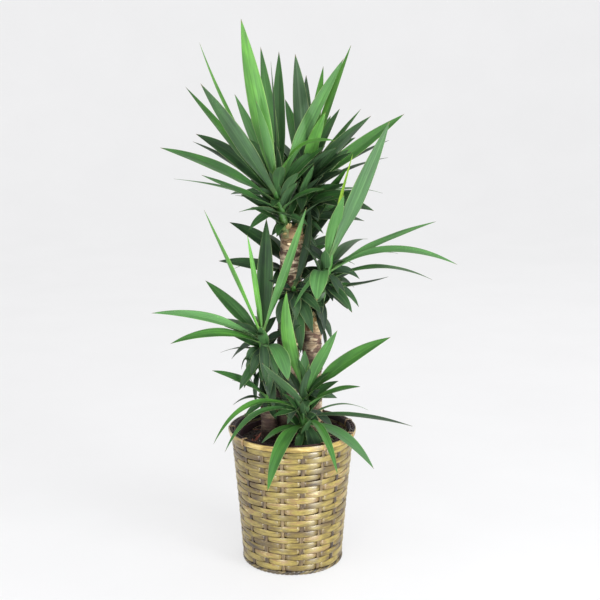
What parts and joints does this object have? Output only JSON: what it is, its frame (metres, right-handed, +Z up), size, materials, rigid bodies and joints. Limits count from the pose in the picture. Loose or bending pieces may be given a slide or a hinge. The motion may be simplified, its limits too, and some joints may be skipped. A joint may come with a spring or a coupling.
{
  "type": "potted yucca",
  "caption": "Tall houseplant with cut woody canes and heads of sword-shaped leaves, standing in a tapered basket of woven bamboo strips with a clamped rim.",
  "frame": {"origin": "centre of the basket's underside, on the floor", "axes": "+Z up along the basket's axis; the pictured front faces -Y, so +X is to the right in the picture"},
  "size_m": [0.676, 0.61, 1.245],
  "materials": {
    "bamboo": "satin",
    "dark_bamboo": "satin",
    "nursery_plastic": "satin",
    "compost": "matte",
    "bark": "matte",
    "leaf": "satin",
    "dead_leaf": "matte"
  },
  "bodies": {
    "root": {"basket_wall": "bamboo", "basket_rim_outer": "bamboo", "basket_rim_inner": "bamboo", "basket_foot": "dark_bamboo", "basket_base": "dark_bamboo", "nursery_pot": "nursery_plastic", "soil": "compost", "cane_tall": "bark", "cane_middle": "bark", "cane_short": "bark", "leaves_tall_left": "leaf", "leaves_tall_right": "leaf", "leaves_tall_rear": "leaf", "leaves_tall_low": "leaf", "leaves_middle": "leaf", "leaves_short": "leaf", "leaves_side": "leaf", "leaves_front": "leaf", "dry_leaf": "dead_leaf"}
  },
  "joints": []
}
